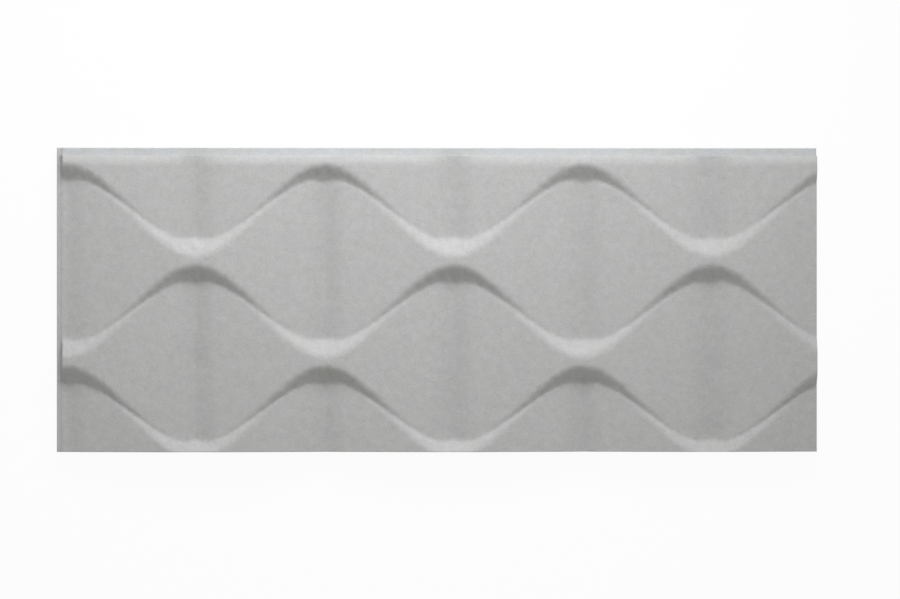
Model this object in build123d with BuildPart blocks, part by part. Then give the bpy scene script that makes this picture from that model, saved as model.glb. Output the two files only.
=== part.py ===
from build123d import *
import math
import os

# Wave relief wall panel, moulded in one piece of foam with a stone-like coat.
# The front is a stagger of bow-tie cells.  A cell is high and narrow at its neck and falls as a flat facet to
# a wide, low crease at each end, and its sides drop away as soft shoulders and plain slopes.  Each row of
# cells stands half a wave along from the next, so that the rows meet in wavy steps and grooves.
# A narrow lip runs along the top edge, with a bevel above it that follows the top row of cells, and another
# along the left edge.  The back is flat, for glue.
# Millimetres.  The panel lies on its back: +X along its length, +Y to its top edge, +Z out of its front.
# The origin is under the middle of the back.

# Outline
panel_length = 1000.0
panel_width = 400.0
panel_thickness = 30.0

# Wave relief
wave_length = 339.0
row_pitch = 133.3
relief_depth = 12.0
first_row_inset = 14.6
first_neck_inset = 13.0

# Cross-section of a cell
neck_flat = 3.6
wave_amplitude = 51.0
flank_fullness = 2.2
side_slope = 0.7
shoulder_width = 11.0

# Gutter along the crease at each end of a cell
crease_depth = 2.5
crease_half_width = 24.0

# Lips along the top and the left edge, the bevel above the top one and the riser beside the left one
lip_thickness = 15.0
top_lip = 10.2
top_lip_fall = 1.5
top_bevel_width = 11.0
top_bevel_drop = 3.2
left_lip = 3.5
left_riser_run = 4.5

# Cross-sections that half a cell is lofted through, from its neck to its crease
sections_per_half = 4

half_wave = wave_length / 2
left_edge = -panel_length / 2
right_edge = panel_length / 2
bottom_edge = -panel_width / 2
top_edge = panel_width / 2
riser_y = top_edge - top_lip
cell_bottom = lip_thickness / 5


def wave_phase(x):
    """Angle along the wave, zero at a cell's neck."""
    return 2 * math.pi * x / wave_length


def flat_half_width(x):
    """Half the width of the level top of a cell, at a distance x from its neck."""
    wave = wave_amplitude * (1 - math.cos(wave_phase(x)))
    return neck_flat / 2 + wave + flank_fullness * math.sin(wave_phase(x)) ** 2


def edge_stretch(x):
    """How much longer a cut straight across a cell's wavy edge is than a cut square to that edge."""
    swing = wave_amplitude * math.sin(wave_phase(x)) + flank_fullness * math.sin(2 * wave_phase(x))
    return math.hypot(1, swing * 2 * math.pi / wave_length)


def facet_height(x):
    """Height of a cell's flat facet, which falls evenly from the ridge at its neck."""
    return panel_thickness - relief_depth * x / half_wave


gutter_x = half_wave - crease_half_width
gutter_height = facet_height(gutter_x)
crease_height = facet_height(half_wave) - crease_depth

# One bow-tie cell: half of it is lofted one section past its neck and its crease, cut off square at both,
# cut down to its gutter and mirrored
with BuildPart() as cell:
    for n in range(-1, sections_per_half + 1):
        x = half_wave * n / (sections_per_half - 1)
        top = facet_height(x)
        flat_end = flat_half_width(x)
        shoulder_end = flat_end + shoulder_width * edge_stretch(x)
        shoulder_middle = (flat_end + shoulder_end) / 2
        shoulder_foot = top - side_slope * shoulder_width / 2
        foot = shoulder_end + (shoulder_foot - cell_bottom) * edge_stretch(x) / side_slope
        with BuildSketch(Plane.YZ.offset(x)):
            with BuildLine():
                Line((-flat_end, top), (flat_end, top))
                Bezier((flat_end, top), (shoulder_middle, top), (shoulder_end, shoulder_foot))
                Line((shoulder_end, shoulder_foot), (foot, cell_bottom))
                Line((foot, cell_bottom), (-foot, cell_bottom))
                Line((-foot, cell_bottom), (-shoulder_end, shoulder_foot))
                Bezier((-shoulder_end, shoulder_foot), (-shoulder_middle, top), (-flat_end, top))
            make_face()
    loft()
    split(bisect_by=Plane.YZ, keep=Keep.TOP)
    split(bisect_by=Plane.YZ.offset(half_wave), keep=Keep.BOTTOM)
    gutter_slope = (gutter_height - crease_height) / crease_half_width
    with BuildSketch(Plane.XZ):
        with BuildLine():
            Polyline(
                (half_wave, crease_height),
                (half_wave, panel_thickness),
                (half_wave - (panel_thickness - crease_height) / gutter_slope, panel_thickness),
                close=True,
            )
        make_face()
    extrude(amount=2 * row_pitch, both=True, mode=Mode.SUBTRACT)
    mirror(about=Plane.YZ)

# A cell of the top row: the same cell, bevelled towards the top lip at an even depth below its own top
with BuildPart() as top_cell:
    bevel_y = riser_y - (top_edge - first_row_inset)
    half_top = [(half_wave, crease_height), (gutter_x, gutter_height)]
    whole_top = [(-x, top) for x, top in half_top] + [(0, panel_thickness)] + half_top[::-1]
    for x, top in whole_top:
        with BuildSketch(Plane.YZ.offset(x)):
            with BuildLine():
                Polyline(
                    (-2 * row_pitch, cell_bottom),
                    (bevel_y + top_bevel_width, cell_bottom),
                    (bevel_y + top_bevel_width, top - 2 * top_bevel_drop),
                    (bevel_y - 2 * top_bevel_width, top + top_bevel_drop),
                    (-2 * row_pitch, top + top_bevel_drop),
                    close=True,
                )
            make_face()
    loft(ruled=True)
    add(cell.part, mode=Mode.INTERSECT)

# Where the cells stand: every second row is half a wave along
row_count = math.ceil((panel_width - first_row_inset) / row_pitch) + 1
cell_places = []
for row in range(row_count):
    row_y = top_edge - first_row_inset - row * row_pitch
    neck_x = left_edge + first_neck_inset - half_wave * (row % 2)
    while neck_x < right_edge + half_wave:
        cell_places.append((row, neck_x, row_y))
        neck_x += wave_length

# The room that the cells fill: upright at the top lip, sloped at the left one, square at the other edges
with BuildPart() as front:
    left_riser_rise = panel_thickness - lip_thickness
    with BuildSketch(Plane.XZ.offset(-riser_y)):
        with BuildLine():
            Polyline(
                (right_edge, 0),
                (left_edge + left_lip, 0),
                (left_edge + left_lip, lip_thickness),
                (left_edge + left_lip + 2 * left_riser_run, lip_thickness + 2 * left_riser_rise),
                (right_edge, lip_thickness + 2 * left_riser_rise),
                close=True,
            )
        make_face()
    extrude(amount=riser_y - bottom_edge)

# The panel: the cells, trimmed to their room, stand on a plain slab whose edges are the lips
with BuildPart() as panel:
    with Locations(*[(x, y) for row, x, y in cell_places if row == 0]):
        add(top_cell.part)
    with Locations(*[(x, y) for row, x, y in cell_places if row > 0]):
        add(cell.part)
    add(front.part, mode=Mode.INTERSECT)
    with BuildSketch(Plane.YZ):
        with BuildLine():
            Polyline(
                (bottom_edge, 0),
                (top_edge, 0),
                (top_edge, lip_thickness - top_lip_fall),
                (riser_y, lip_thickness),
                (bottom_edge, lip_thickness),
                close=True,
            )
        make_face()
    extrude(amount=panel_length / 2, both=True)

panel.part.label = "panel"

os.makedirs("parts", exist_ok=True)
export_step(panel.part, "parts/panel.step")
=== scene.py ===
import math

import bpy
from mathutils import Matrix, Vector


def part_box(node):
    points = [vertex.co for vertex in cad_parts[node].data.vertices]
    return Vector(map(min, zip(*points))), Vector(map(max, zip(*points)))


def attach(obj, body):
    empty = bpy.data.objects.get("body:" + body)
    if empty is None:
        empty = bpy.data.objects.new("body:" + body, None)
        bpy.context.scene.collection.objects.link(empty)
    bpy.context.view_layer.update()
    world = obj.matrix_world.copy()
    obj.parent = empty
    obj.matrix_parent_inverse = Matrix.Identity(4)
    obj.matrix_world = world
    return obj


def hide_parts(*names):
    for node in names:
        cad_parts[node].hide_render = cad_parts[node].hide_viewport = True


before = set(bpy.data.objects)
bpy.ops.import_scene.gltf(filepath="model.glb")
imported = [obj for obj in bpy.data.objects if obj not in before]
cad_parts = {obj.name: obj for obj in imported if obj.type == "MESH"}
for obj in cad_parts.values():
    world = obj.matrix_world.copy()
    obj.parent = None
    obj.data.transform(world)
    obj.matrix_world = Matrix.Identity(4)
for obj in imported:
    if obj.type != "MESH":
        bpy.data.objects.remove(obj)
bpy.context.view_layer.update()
scene = bpy.context.scene

# The panel: one piece of moulded foam with a matt, stone-grey coat, flat at the back for glue.
# Its mould gives it staggered rows of bow-tie cells, high at their necks and creased at their wide ends,
# and a narrow lip along the top and the left edge.
panel_low, panel_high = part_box("panel")
panel_sizes = {
    # Outline, in metres as all lengths here
    "Length": panel_high.x - panel_low.x,
    "Width": panel_high.y - panel_low.y,
    "Thickness": panel_high.z - panel_low.z,
    # Rows of cells
    "Wave Length": 0.339,
    "Row Pitch": 0.1328,
    "Relief Depth": 0.012,
    "Top Row Relief": 0.0098,
    "First Row Inset": 0.0158,
    "First Neck Inset": 0.013,
    # Cross-section of a cell
    "Neck Flat": 0.0048,
    "Wave Amplitude": 0.051,
    "Flank Fullness": 0.0022,
    "Upper Slope": 0.58,
    "Lower Slope": 0.7,
    "Top Row Slope": 0.60,
    "Shoulder Width": 0.009,
    # Ridges, creases and grooves
    "Ridge Rounding": 0.020,
    "Crease Depth": 0.0023,
    "Crease Half Width": 0.026,
    "Groove Rounding": 0.0016,
    "Neck Groove Rounding": 0.004,
    # Lips, risers and rim
    "Lip Thickness": 0.015,
    "Lip Fall": 0.0015,
    "Top Lip": 0.0102,
    "Top Riser Draft": 0.0002,
    "Top Riser Slack": 0.003,
    "Top Roll Width": 0.0145,
    "Top Roll Drop": 0.0034,
    "Full Roll Height": 0.006,
    "Left Lip": 0.0037,
    "Left Riser Run": 0.0055,
    "Rim Rounding": 0.0007,
    # Unevenness, painted shade and wear of the coat
    "Edge Wander": 0.005,
    "Wanders per Metre": 120.0,
    "Unevenness": 0.0006,
    "Dents per Metre": 60.0,
    "Crease Shade Width": 0.036,
    "Crease Shade Fade": 0.080,
    "Groove Shade Height": 0.003,
    "Rim Wear": 0.0025,
    # How far the lines of the mesh are drawn towards the edges, from 0 to 1
    "Line Crowding": 0.6,
}
panel_lines = {"Lines Along": 492, "Lines Across": 196}


class Wire:
    """A node socket that Python arithmetic works on: each operator adds the Math node for it."""

    def __init__(self, tree, socket=None):
        self.tree = tree
        self.socket = socket

    def node(self, kind, settings=None, inputs=None, output=0):
        """Adds a node, sets it, gives its sockets their values or links, and returns one of its outputs."""
        made = self.tree.nodes.new(kind)
        for name, value in (settings or {}).items():
            setattr(made, name, value)
        for name, value in (inputs or {}).items():
            if isinstance(value, Wire):
                self.tree.links.new(value.socket, made.inputs[name])
            else:
                made.inputs[name].default_value = value
        return Wire(self.tree, made.outputs[output])

    def output(self, name):
        """Another output of the same node."""
        return Wire(self.tree, self.socket.node.outputs[name])

    def math(self, operation, *terms):
        return self.node("ShaderNodeMath", {"operation": operation}, dict(enumerate((self, *terms))))

    def __add__(self, other):
        return self.math("ADD", other)

    def __radd__(self, other):
        return self.math("ADD", other)

    def __sub__(self, other):
        return self.math("SUBTRACT", other)

    def __rsub__(self, other):
        return (self * -1).math("ADD", other)

    def __mul__(self, other):
        return self.math("MULTIPLY", other)

    def __rmul__(self, other):
        return self.math("MULTIPLY", other)

    def __truediv__(self, other):
        return self.math("DIVIDE", other)

    def __rtruediv__(self, other):
        return self.math("POWER", -1) * other

    def __pow__(self, other):
        return self.math("POWER", other)

    def __gt__(self, other):
        return self.math("GREATER_THAN", other)

    def clamped(self):
        """The value, held between 0 and 1."""
        return self.math("MAXIMUM", 0).math("MINIMUM", 1)

    def eased(self):
        """A value between 0 and 1, with a soft start and a soft end."""
        return self * self * (3 - self * 2)

    def swung(self, width):
        """A noise, which lies around a half, made to swing around zero within this width."""
        return (self - 0.5) * width

    def mixed(self, first, second):
        """The first colour where this share is 0, and the second where it is 1."""
        # A Mix node has sockets of the same name for each kind of data, so the colours go by number
        return self.node("ShaderNodeMix", {"data_type": "RGBA"}, {0: self, 6: first, 7: second}, 2)


# The rule of the relief, as a tree of nodes with the panel's sizes as its inputs
relief = bpy.data.node_groups.new("wave_relief", "GeometryNodeTree")
relief.interface.new_socket(name="Geometry", in_out="OUTPUT", socket_type="NodeSocketGeometry")
size_sockets = {}
for name in panel_sizes:
    size_sockets[name] = relief.interface.new_socket(name=name, in_out="INPUT", socket_type="NodeSocketFloat")
for name in panel_lines:
    size_sockets[name] = relief.interface.new_socket(name=name, in_out="INPUT", socket_type="NodeSocketInt")
rule = Wire(relief).node("NodeGroupInput")
size = {name: rule.output(name) for name in size_sockets}
half_length = size["Length"] / 2
half_width = size["Width"] / 2
half_wave = size["Wave Length"] / 2


def crowded(even, half_span):
    """Draws evenly spaced lines together towards both edges, where the lips and the rims need them."""
    share = even / half_span
    bowed = (share * (math.pi / 2)).math("SINE")
    return half_span * (share + (bowed - share) * size["Line Crowding"])


# A sheet of mesh with some slack across, which is drawn together at the top riser, so that it stands upright
sheet = rule.node(
    "GeometryNodeMeshGrid",
    inputs={
        "Size X": size["Length"],
        "Size Y": size["Width"],
        "Vertices X": size["Lines Along"],
        "Vertices Y": size["Lines Across"],
    },
)
place = rule.node("GeometryNodeInputPosition")
x = rule.node("ShaderNodeSeparateXYZ", inputs={"Vector": place})
y = x.output("Y")
slack = size["Top Riser Slack"]
draft = size["Top Riser Draft"]
riser_y = half_width - size["Top Lip"] - draft
slack_y = crowded(y, half_width) * (1 + slack / size["Width"]) + slack / 2
drawn_in = slack * ((slack_y - riser_y) / (slack + draft)).clamped()
sheet_x = crowded(x, half_length)
sheet_place = rule.node("ShaderNodeCombineXYZ", inputs={"X": sheet_x, "Y": slack_y - drawn_in})
sheet = rule.node("GeometryNodeSetPosition", inputs={"Geometry": sheet, "Position": sheet_place})

# The front is not quite even: the edges of the cells wander as they run along, and there are shallow dents
wander_stretch = (1, 0.4, 0)
noise_settings = {"Detail": 2.0, "Roughness": 0.6}
along = rule.node("ShaderNodeVectorMath", {"operation": "MULTIPLY"}, {0: place, 1: wander_stretch})
wander = rule.node(
    "ShaderNodeTexNoise", inputs={"Vector": along, "Scale": size["Wanders per Metre"], **noise_settings}
)
dents = rule.node(
    "ShaderNodeTexNoise", inputs={"Vector": place, "Scale": size["Dents per Metre"], **noise_settings}
)
edge_wander = wander.swung(size["Edge Wander"])

# Rows of cells: the front is wherever the highest row is
width_below_first_row = panel_sizes["Width"] - panel_sizes["First Row Inset"]
row_count = math.ceil(width_below_first_row / panel_sizes["Row Pitch"]) + 1
full_turn = 2 * math.pi
ridge = size["Ridge Rounding"]
facet_run = half_wave - ridge
shoulder = size["Shoulder Width"]
groove_gap = size["Groove Shade Height"]
front = None
for row in range(row_count):
    row_y = half_width - size["First Row Inset"] - size["Row Pitch"] * row
    neck_x = size["First Neck Inset"] - half_length - half_wave * (row % 2)
    from_neck = (x - neck_x).math("PINGPONG", half_wave)

    # The top: a rounded ridge at the neck, flat facets and a gutter along each crease
    fall = from_neck.math("SMOOTH_MAX", ridge, ridge) - ridge
    in_crease = (1 - (half_wave - from_neck) / size["Crease Half Width"]).clamped()
    gutter = size["Crease Depth"] * in_crease.eased()
    row_relief = size["Relief Depth"] if row else size["Top Row Relief"]
    facet = row_relief * (1 - fall / facet_run)
    top = size["Thickness"] - size["Relief Depth"] + facet - gutter

    # The wavy edge of the top, and the distance past it, square to the edge
    phase = from_neck * full_turn / size["Wave Length"]
    swing = phase.math("SINE")
    wave = size["Wave Amplitude"] * (1 - phase.math("COSINE"))
    edge = size["Neck Flat"] / 2 + wave + size["Flank Fullness"] * swing**2
    edge_turn = size["Wave Amplitude"] * swing + size["Flank Fullness"] * (phase * 2).math("SINE")
    edge_slope = edge_turn * full_turn / size["Wave Length"]
    stretch = (1 + edge_slope**2).math("SQRT")
    past_edge = ((y - row_y).math("ABSOLUTE") - edge) / stretch + edge_wander

    # The sides: soft shoulders and then plain slopes
    lower_slope = size["Lower Slope"] if row else size["Top Row Slope"]
    side_slope = lower_slope + (y > row_y) * (size["Upper Slope"] - lower_slope)
    on_shoulder = (past_edge / shoulder).clamped()
    past_shoulder = (past_edge - shoulder).math("MAXIMUM", 0)
    height = top - side_slope * (shoulder / 2 * on_shoulder**2 + past_shoulder)

    # The grooves between two rows are softest below the necks
    if front is None:
        front = height
        front_from_neck = from_neck
    else:
        groove_gap = groove_gap.math("MINIMUM", (height - front).math("ABSOLUTE"))
        higher = height > front
        front_from_neck = front_from_neck + higher * (from_neck - front_from_neck)
        softer = size["Neck Groove Rounding"] - size["Groove Rounding"]
        rounding = size["Groove Rounding"] + softer * phase.math("COSINE") ** 2
        front = front.math("SMOOTH_MAX", height, rounding)

# Lips along the top and the left edge: the front rolls over to the top one and slopes down to the left one
inside_top_lip = half_width - size["Top Lip"] - y
lip = size["Lip Thickness"] - size["Lip Fall"] * (inside_top_lip / size["Top Lip"] * -1).clamped()
above_lip = (front - size["Unevenness"] * dents - lip).math("MAXIMUM", 0)
stands_up = (above_lip / size["Full Roll Height"]).clamped()
on_roll = (1 - inside_top_lip / size["Top Roll Width"]).clamped()
rolled = above_lip - size["Top Roll Drop"] * stands_up * on_roll**2
# The top riser falls within the middle third of its draft
on_top_riser = (2 - (y - riser_y) / draft * 3).clamped()
on_left_riser = ((x + half_length - size["Left Lip"]) / size["Left Riser Run"]).clamped().eased()
front = lip + rolled * on_top_riser * on_left_riser

# The rim is slightly rounded all round
from_side = half_length - x.math("ABSOLUTE")
from_end = half_width - y.math("ABSOLUTE")
from_rim = from_side.math("MINIMUM", from_end)
rim_drop = (1 - from_rim / size["Rim Rounding"]).clamped() ** 2 * size["Rim Rounding"]
front_place = rule.node("ShaderNodeCombineXYZ", inputs={"X": x, "Y": y, "Z": front - rim_drop})
sheet = rule.node("GeometryNodeSetPosition", inputs={"Geometry": sheet, "Position": front_place})

# Where painted shade darkens the coat, in the creases, in the grooves and halfway up the left riser where
# that is high, and where the coat is thin, on the top lip and along the rim
# Painted shade: a darker band along each crease, fading in over a short length from the left end
painted_crease_shade = (1 - (half_wave - front_from_neck) / size["Crease Shade Width"]).clamped().eased()
painted_crease_shade = painted_crease_shade * ((x + half_length) / size["Crease Shade Fade"]).clamped()
# Painted shade in the grooves between rows, where two rows meet at about the same height
painted_groove_shade = 1 - groove_gap / size["Groove Shade Height"]
# 1 halfway up the riser, and 0 at its foot and its top
halfway_up = on_left_riser * (1 - on_left_riser) * 4
# Painted shade on the left riser, strongest where the front stands high above the lip
painted_riser_shade = halfway_up * stands_up**2
rim_wear = (1 - from_rim / size["Rim Wear"]).clamped()
thin_coat = (1 - on_top_riser).math("MAXIMUM", rim_wear)
shares = {
    "painted_crease_shade": painted_crease_shade,
    "painted_groove_shade": painted_groove_shade,
    "painted_riser_shade": painted_riser_shade,
    "thin_coat": thin_coat,
}
for name, share in shares.items():
    sheet = rule.node(
        "GeometryNodeStoreNamedAttribute",
        {"data_type": "FLOAT", "domain": "POINT"},
        {"Geometry": sheet, "Name": name, "Value": share},
    )

# Plain side walls from the rim, where an edge has one face only, down to the flat back
rim = rule.node("GeometryNodeInputMeshEdgeNeighbors").math("COMPARE", 1, 0.5)
downwards = rule.node("ShaderNodeCombineXYZ", inputs={"Z": -1})
walled = rule.node(
    "GeometryNodeExtrudeMesh",
    {"mode": "EDGES"},
    {"Mesh": sheet, "Selection": rim, "Offset": downwards, "Offset Scale": size["Thickness"]},
)
foot_edges = walled.output("Top")
foot_place = rule.node("ShaderNodeCombineXYZ", inputs={"X": x, "Y": y})
shell = rule.node(
    "GeometryNodeSetPosition",
    inputs={"Geometry": walled, "Selection": foot_edges, "Position": foot_place},
)
foot_line = rule.node("GeometryNodeMeshToCurve", inputs={"Mesh": shell, "Selection": foot_edges})
back = rule.node("GeometryNodeFillCurve", inputs={"Curve": foot_line})
back = rule.node("GeometryNodeFlipFaces", inputs={"Mesh": back})
joined = relief.nodes.new("GeometryNodeJoinGeometry")
for part in (back, shell):
    relief.links.new(part.socket, joined.inputs["Geometry"])
weld_distance = 1e-6
closed = rule.node(
    "GeometryNodeMergeByDistance",
    inputs={"Geometry": Wire(relief, joined.outputs[0]), "Distance": weld_distance},
)
sharp_angle = math.radians(35)
smooth = rule.node(
    "GeometryNodeSetShadeSmooth", {"domain": "FACE"}, {"Geometry": closed, "Shade Smooth": True}
)
sharp_edges = rule.node("GeometryNodeInputMeshEdgeAngle") > sharp_angle
sharpened = rule.node(
    "GeometryNodeSetShadeSmooth",
    {"domain": "EDGE"},
    {"Geometry": smooth, "Selection": sharp_edges, "Shade Smooth": False},
)
realized = rule.node("GeometryNodeRealizeInstances", inputs={"Geometry": sharpened})

# The coat: matt grey with a fine sandy grain and faint warm and cool clouds, with painted shade near the back
# and painted shade in the creases, the grooves and on the left riser where the relief says so, with paler,
# cooler foam showing through where it is thin
coat_specular = 0.25
coat_roughness = 0.86
roughness_swing = 0.2
warm_grey = (0.4850, 0.4832, 0.4725, 1)
cool_grey = (0.4832, 0.4838, 0.4865, 1)
bare_foam = (0.512, 0.533, 0.550, 1)
coat = bpy.data.materials.new("stone_grey_coat")
coat.use_nodes = True
coat_tree = coat.node_tree
surface = coat_tree.nodes["Principled BSDF"]
surface.inputs["Specular IOR Level"].default_value = coat_specular
coat_place = Wire(coat_tree).node("ShaderNodeTexCoord", output="Object")


def coat_noise(grains_per_metre, detail, roughness, distortion=0.0):
    """Noise over the coat, between 0 and 1 and mostly near a half."""
    inputs = {
        "Vector": coat_place,
        "Scale": grains_per_metre,
        "Detail": detail,
        "Roughness": roughness,
        "Distortion": distortion,
    }
    return coat_place.node("ShaderNodeTexNoise", inputs=inputs)


def coat_share(name):
    """One of the shares that the relief stored on its points."""
    return coat_place.node("ShaderNodeAttribute", {"attribute_name": name}, output="Fac")


sand = coat_noise(grains_per_metre=420, detail=3, roughness=0.75)
mottle = coat_noise(grains_per_metre=110, detail=4, roughness=0.6)
clouds = coat_noise(grains_per_metre=40, detail=2, roughness=0.5)
smear = coat_noise(grains_per_metre=28, detail=3, roughness=0.6, distortion=0.6)

# How thin the coat is, and how much darker each painted shade makes it
usual_thinness = 0.45
thinness_swing = 0.9
thinness = coat_share("thin_coat") * (usual_thinness + clouds.swung(thinness_swing))
thinness = thinness.clamped()
crease_darkening = 0.055
crease_swing = 0.16
groove_darkening = 0.09
riser_darkening = 0.22
foot_shade_darkening = 0.4
foot_shade_height = 0.009
height_on_side = coat_place.node("ShaderNodeSeparateXYZ", inputs={"Vector": coat_place}, output="Z")
# Painted shade on the side walls, darker towards the back
near_back = (1 - height_on_side / foot_shade_height).clamped()
painted_shade = coat_share("painted_crease_shade") * (1 - thinness) * (crease_darkening + smear.swung(crease_swing))
painted_shade = painted_shade + coat_share("painted_groove_shade") * (1 - thinness) * groove_darkening
painted_shade = painted_shade + near_back * mottle * foot_shade_darkening
painted_shade = painted_shade + coat_share("painted_riser_shade") * riser_darkening

# Its colour, and the relief of its grain
sand_swing = 0.36
mottle_swing = 0.26
cloud_contrast = 3
shade = 1 + sand.swung(sand_swing) + mottle.swung(mottle_swing) - painted_shade
coat_colour = (clouds.swung(cloud_contrast) + 0.5).clamped().mixed(warm_grey, cool_grey)
coat_colour = thinness.mixed(coat_colour, bare_foam)
coat_colour = coat_place.node(
    "ShaderNodeVectorMath", {"operation": "SCALE"}, {0: coat_colour, "Scale": shade}
)
sand_share = 0.6
grain_strength = 0.35
grain_depth = 0.0015
grain_height = sand * sand_share + mottle * (1 - sand_share)
grain_bump = coat_place.node(
    "ShaderNodeBump",
    inputs={"Strength": grain_strength, "Distance": grain_depth, "Height": grain_height},
)
for socket, wire in {
    "Base Color": coat_colour,
    "Roughness": coat_roughness + mottle.swung(roughness_swing),
    "Normal": grain_bump,
}.items():
    coat_tree.links.new(wire.socket, surface.inputs[socket])

coated = rule.node("GeometryNodeSetMaterial", inputs={"Geometry": realized, "Material": coat})
group_output = relief.nodes.new("NodeGroupOutput")
relief.links.new(coated.socket, group_output.inputs["Geometry"])

panel = bpy.data.objects.new("relief_panel", bpy.data.meshes.new("relief_panel"))
scene.collection.objects.link(panel)
mould = panel.modifiers.new("wave_relief", "NODES")
mould.node_group = relief
for name, value in {**panel_sizes, **panel_lines}.items():
    mould[size_sockets[name].identifier] = value
evaluated = panel.evaluated_get(bpy.context.evaluated_depsgraph_get())
panel.data = bpy.data.meshes.new_from_object(evaluated)
panel.modifiers.clear()
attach(panel, "root")
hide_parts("panel")

# The floor: a plain pale studio floor that the panel lies on.
# The camera sees it almost white, and it keeps the panel's soft shadow.
floor_half = 20.0
floor_gap = 0.0002
floor_signs = ((-1, -1), (1, -1), (1, 1), (-1, 1))
floor_corners = [(sx * floor_half, sy * floor_half, -floor_gap) for sx, sy in floor_signs]
floor_mesh = bpy.data.meshes.new("floor")
floor_mesh.from_pydata(floor_corners, [], [(0, 1, 2, 3)])
floor = bpy.data.objects.new("floor", floor_mesh)
scene.collection.objects.link(floor)


def seen_rays(tree):
    """1 for what the camera sees, straight or by way of gloss and glass, and 0 for other light."""
    rays = Wire(tree).node("ShaderNodeLightPath", output="Is Camera Ray")
    seen = rays.math("MAXIMUM", rays.output("Is Glossy Ray"))
    return seen.math("MAXIMUM", rays.output("Is Transmission Ray"))


floor_grey = (0.9, 0.9, 0.9, 1)
plain_white = (1, 1, 1, 1)
white_share = 0.94
pale = bpy.data.materials.new("pale_floor")
pale.use_nodes = True
pale_tree = pale.node_tree
pale_tree.nodes.remove(pale_tree.nodes["Principled BSDF"])
seen_floor = seen_rays(pale_tree)
matt = seen_floor.node("ShaderNodeBsdfDiffuse", inputs={"Color": floor_grey})
white = seen_floor.node("ShaderNodeEmission", inputs={"Color": plain_white, "Strength": 1.0})
part_white = seen_floor.node("ShaderNodeMixShader", inputs={0: seen_floor * white_share, 1: matt, 2: white})
pale_tree.links.new(part_white.socket, pale_tree.nodes["Material Output"].inputs["Surface"])
floor_mesh.materials.append(pale)

# The light: one large, slightly cool lamp beyond the panel's top edge, and an even, slightly warm surround,
# which the camera sees as plain white.
lamp_place = Vector((0.015, 0.992, 0.605))
lamp_aim = Vector((-0.118, -0.026, 0))
key_data = bpy.data.lights.new("key_lamp", "AREA")
key_data.shape = "RECTANGLE"
key_data.size = 1.375
key_data.size_y = 0.5
key_data.spread = math.radians(79)
key_data.energy = 4.29
key_data.color = (0.962, 0.970, 1.0)
key = bpy.data.objects.new("key_lamp", key_data)
key.location = lamp_place
key.rotation_mode = "QUATERNION"
key.rotation_quaternion = (lamp_aim - lamp_place).to_track_quat("-Z", "Y")
scene.collection.objects.link(key)

ambient_level = 0.4532
ambient_colour = (1.0, 0.992, 0.962, 1)
surround = bpy.data.worlds.new("surround")
surround.use_nodes = True
scene.world = surround
surround_tree = surround.node_tree
seen_surround = seen_rays(surround_tree)
sky = surround_tree.nodes["Background"]
sky_colour = seen_surround.mixed(ambient_colour, plain_white)
sky_level = ambient_level + seen_surround * (1 - ambient_level)
surround_tree.links.new(sky_colour.socket, sky.inputs["Color"])
surround_tree.links.new(sky_level.socket, sky.inputs["Strength"])

scene.view_settings.view_transform = "Standard"

# The camera: straight above, a little to the left, with the panel's top edge at the top of the picture.
camera_data = bpy.data.cameras.new("camera")
camera_data.lens = 150.0
camera = bpy.data.objects.new("camera", camera_data)
camera_aim = Vector((0.0167, 0.0003, 0.02))
camera_distance = 4.932
camera_yaw = math.radians(1.0)
camera_direction = Vector((-math.sin(camera_yaw), 0, math.cos(camera_yaw)))
camera.location = camera_aim + camera_direction * camera_distance
camera_right = Vector((0, 1, 0)).cross(camera_direction).normalized()
camera_up = camera_direction.cross(camera_right)
camera.rotation_mode = "QUATERNION"
camera_axes = Matrix((camera_right, camera_up, camera_direction)).transposed()
camera.rotation_quaternion = camera_axes.to_quaternion()
scene.collection.objects.link(camera)
scene.camera = camera
